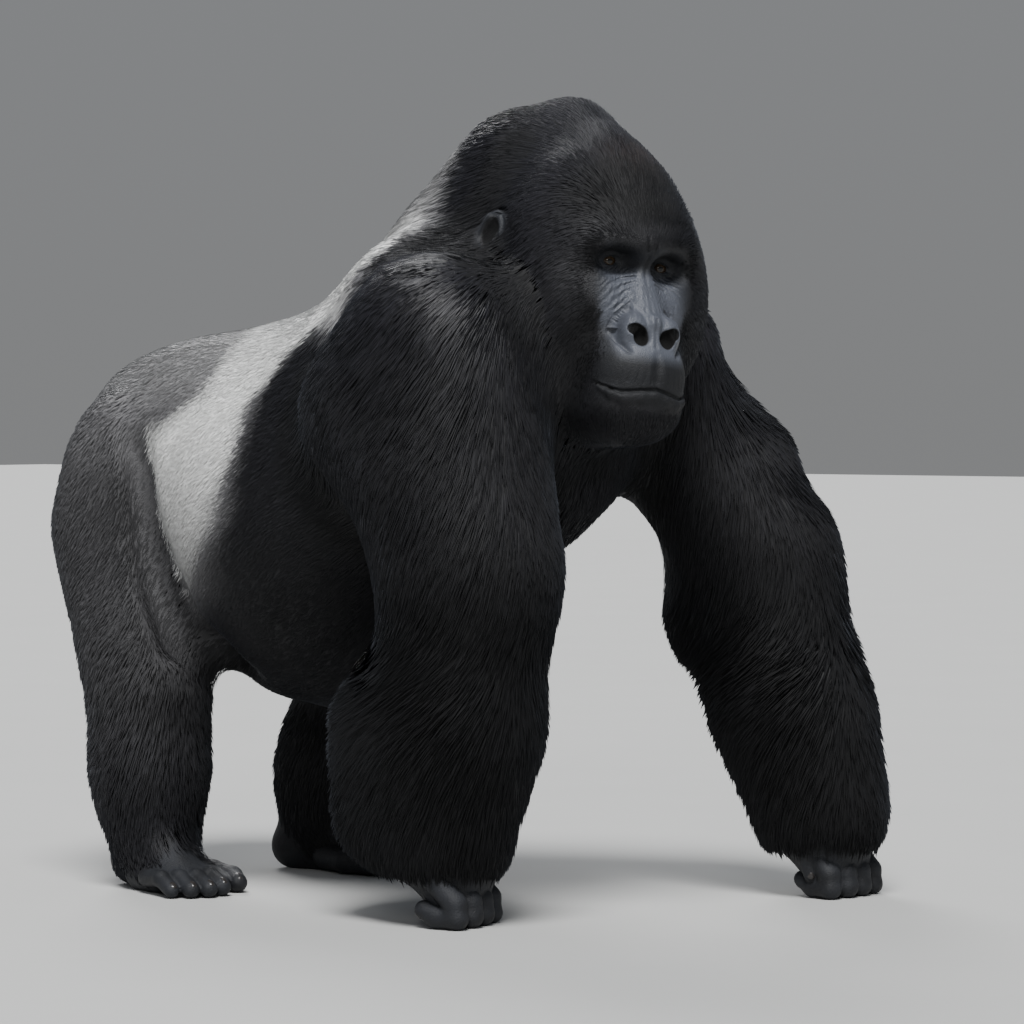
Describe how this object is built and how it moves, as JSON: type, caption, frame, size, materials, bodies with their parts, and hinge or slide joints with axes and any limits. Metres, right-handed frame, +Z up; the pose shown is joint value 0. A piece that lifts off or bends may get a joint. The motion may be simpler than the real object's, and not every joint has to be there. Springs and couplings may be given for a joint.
{
  "type": "gorilla, mountain silverback",
  "caption": "Life-size adult male mountain gorilla standing on knuckles and soles, head turned to its right, for display.",
  "frame": {"origin": "middle of the overall footprint, on the floor the hands and feet stand on", "axes": "+Z up, the body faces -Y with the rump towards +Y, and the animal's own left side is at +X"},
  "size_m": [0.8778, 1.1819, 1.1722],
  "materials": {
    "black_coat": "dense black hair with a cool grey sheen",
    "silver_coat": "short silver-grey hair of the saddle",
    "grey_coat": "short dark grey hair tipped with silver",
    "bare_skin": "bare slate-black skin, slightly shiny",
    "eye": "wet, dark amber brown",
    "nail": "dark horn, satin"
  },
  "bodies": {
    "root": {"head": "bare_skin", "ear_right": "bare_skin", "ear_left": "bare_skin", "eye_right": "eye", "eye_left": "eye", "neck": "black_coat", "chest": "black_coat", "belly": "silver_coat", "pelvis": "grey_coat", "upper_arm_right": "black_coat", "forearm_right": "black_coat", "hand_right": "bare_skin", "thigh_right": "grey_coat", "shin_right": "black_coat", "foot_right": "bare_skin", "upper_arm_left": "black_coat", "forearm_left": "black_coat", "hand_left": "bare_skin", "thigh_left": "grey_coat", "shin_left": "black_coat", "foot_left": "bare_skin"}
  },
  "joints": []
}
